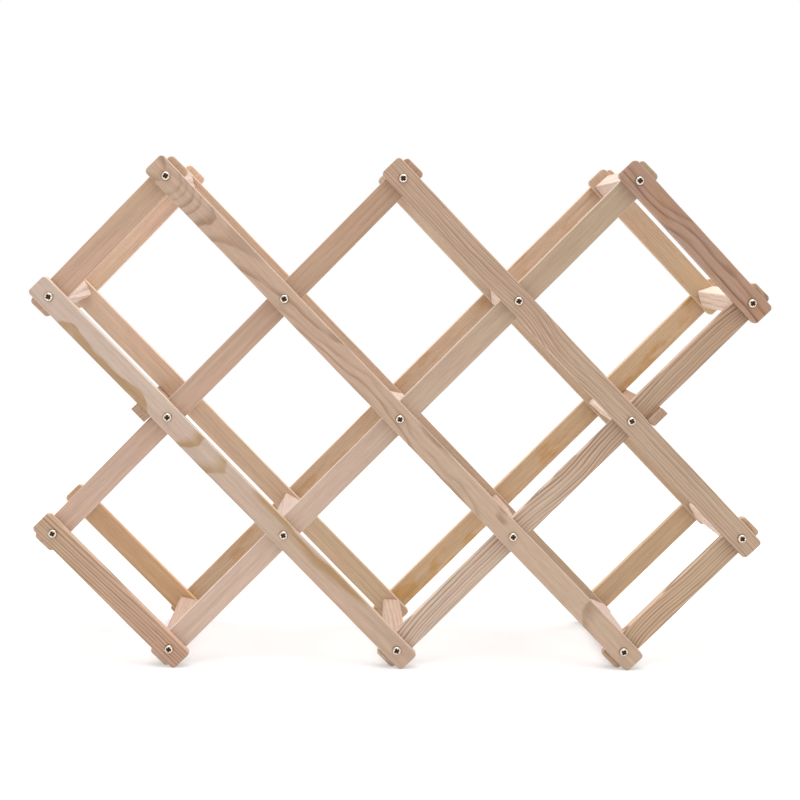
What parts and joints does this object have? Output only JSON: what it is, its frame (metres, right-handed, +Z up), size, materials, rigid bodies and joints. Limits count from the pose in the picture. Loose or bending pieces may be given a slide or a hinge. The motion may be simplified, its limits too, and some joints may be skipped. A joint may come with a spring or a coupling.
{
  "type": "wine rack",
  "caption": "Folding lattice wine rack in pale pine: two lattices of crossed flat slats, screwed to square crossbars, with diamond cells that each hold a bottle.",
  "frame": {"origin": "on the floor below the middle of the rack, at the bottom centre of its bounding box", "axes": "+X to the rack's right as seen from the front, +Y from the front lattice to the rear lattice, +Z up"},
  "size_m": [0.5312, 0.1324, 0.372],
  "materials": {
    "pine_slat": "bare sanded pine",
    "pine_crossbar": "bare sanded pine",
    "pine_stop": "bare sanded pine, end grain to the front",
    "zinc_screw": "bright zinc plate"
  },
  "bodies": {
    "base": {"crossbar_c4_r5": "pine_crossbar", "screw_c4_r5": "zinc_screw"},
    "falling_1": {"front_falling_slat_1": "pine_slat", "rear_falling_slat_1": "pine_slat", "crossbar_c1_r2": "pine_crossbar", "screw_c1_r2": "zinc_screw", "crossbar_c2_r3": "pine_crossbar", "screw_c2_r3": "zinc_screw", "crossbar_c3_r4": "pine_crossbar", "screw_c3_r4": "zinc_screw", "stop_rail_left": "pine_stop"},
    "falling_2": {"front_falling_slat_2": "pine_slat", "rear_falling_slat_2": "pine_slat", "crossbar_c2_r1": "pine_crossbar", "screw_c2_r1": "zinc_screw", "crossbar_c3_r2": "pine_crossbar", "screw_c3_r2": "zinc_screw", "crossbar_c4_r3": "pine_crossbar", "screw_c4_r3": "zinc_screw", "crossbar_c5_r4": "pine_crossbar", "screw_c5_r4": "zinc_screw", "crossbar_c6_r5": "pine_crossbar", "screw_c6_r5": "zinc_screw"},
    "falling_3": {"front_falling_slat_3": "pine_slat", "rear_falling_slat_3": "pine_slat", "crossbar_c4_r1": "pine_crossbar", "screw_c4_r1": "zinc_screw", "crossbar_c5_r2": "pine_crossbar", "screw_c5_r2": "zinc_screw", "crossbar_c6_r3": "pine_crossbar", "screw_c6_r3": "zinc_screw", "crossbar_c7_r4": "pine_crossbar", "screw_c7_r4": "zinc_screw"},
    "falling_4": {"front_falling_slat_4": "pine_slat", "rear_falling_slat_4": "pine_slat", "crossbar_c6_r1": "pine_crossbar", "screw_c6_r1": "zinc_screw", "crossbar_c7_r2": "pine_crossbar", "screw_c7_r2": "zinc_screw"},
    "falling_5": {"front_falling_slat_5": "pine_slat", "rear_falling_slat_5": "pine_slat", "crossbar_c1_r4": "pine_crossbar", "screw_c1_r4": "zinc_screw", "crossbar_c2_r5": "pine_crossbar", "screw_c2_r5": "zinc_screw"},
    "rising_1": {"front_rising_slat_1": "pine_slat", "rear_rising_slat_1": "pine_slat"},
    "rising_2": {"front_rising_slat_2": "pine_slat", "rear_rising_slat_2": "pine_slat"},
    "rising_3": {"front_rising_slat_3": "pine_slat", "rear_rising_slat_3": "pine_slat"},
    "rising_4": {"front_rising_slat_4": "pine_slat", "rear_rising_slat_4": "pine_slat", "stop_rail_right": "pine_stop"},
    "rising_5": {"front_rising_slat_5": "pine_slat", "rear_rising_slat_5": "pine_slat"}
  },
  "joints": [
    {"name": "fold", "type": "hinge", "parent": "base", "child": "falling_1", "pos_m": [0, 0, 0.01423], "axis": [0, 1, 0], "range_deg": [0, 38]},
    {"name": "rising_4_pivot", "type": "hinge", "parent": "base", "child": "rising_4", "pos_m": [0, 0, 0.01423], "axis": [0, 1, 0], "range_deg": [-38, 0]},
    {"name": "rising_3_pivot", "type": "hinge", "parent": "falling_1", "child": "rising_3", "pos_m": [-0.08381, 0, 0.10011], "axis": [0, 1, 0], "range_deg": [-76, 0]},
    {"name": "rising_2_pivot", "type": "hinge", "parent": "falling_1", "child": "rising_2", "pos_m": [-0.16762, 0, 0.18599], "axis": [0, 1, 0], "range_deg": [-76, 0]},
    {"name": "rising_1_pivot", "type": "hinge", "parent": "falling_1", "child": "rising_1", "pos_m": [-0.25143, 0, 0.27188], "axis": [0, 1, 0], "range_deg": [-76, 0]},
    {"name": "falling_2_pivot", "type": "hinge", "parent": "rising_4", "child": "falling_2", "pos_m": [0.08381, 0, 0.10011], "axis": [0, 1, 0], "range_deg": [0, 76]},
    {"name": "falling_3_pivot", "type": "hinge", "parent": "rising_4", "child": "falling_3", "pos_m": [0.16762, 0, 0.18599], "axis": [0, 1, 0], "range_deg": [0, 76]},
    {"name": "falling_4_pivot", "type": "hinge", "parent": "rising_4", "child": "falling_4", "pos_m": [0.25143, 0, 0.27188], "axis": [0, 1, 0], "range_deg": [0, 76]},
    {"name": "falling_5_pivot", "type": "hinge", "parent": "rising_3", "child": "falling_5", "pos_m": [-0.16762, 0, 0.01423], "axis": [0, 1, 0], "range_deg": [0, 76]},
    {"name": "rising_5_pivot", "type": "hinge", "parent": "falling_2", "child": "rising_5", "pos_m": [0.16762, 0, 0.01423], "axis": [0, 1, 0], "range_deg": [-76, 0]}
  ],
  "couplings": [
    {"joint": "rising_4_pivot", "follows": "fold", "ratio": -1},
    {"joint": "rising_3_pivot", "follows": "fold", "ratio": -2},
    {"joint": "rising_2_pivot", "follows": "fold", "ratio": -2},
    {"joint": "rising_1_pivot", "follows": "fold", "ratio": -2},
    {"joint": "falling_2_pivot", "follows": "fold", "ratio": 2},
    {"joint": "falling_3_pivot", "follows": "fold", "ratio": 2},
    {"joint": "falling_4_pivot", "follows": "fold", "ratio": 2},
    {"joint": "falling_5_pivot", "follows": "fold", "ratio": 2},
    {"joint": "rising_5_pivot", "follows": "fold", "ratio": -2}
  ]
}
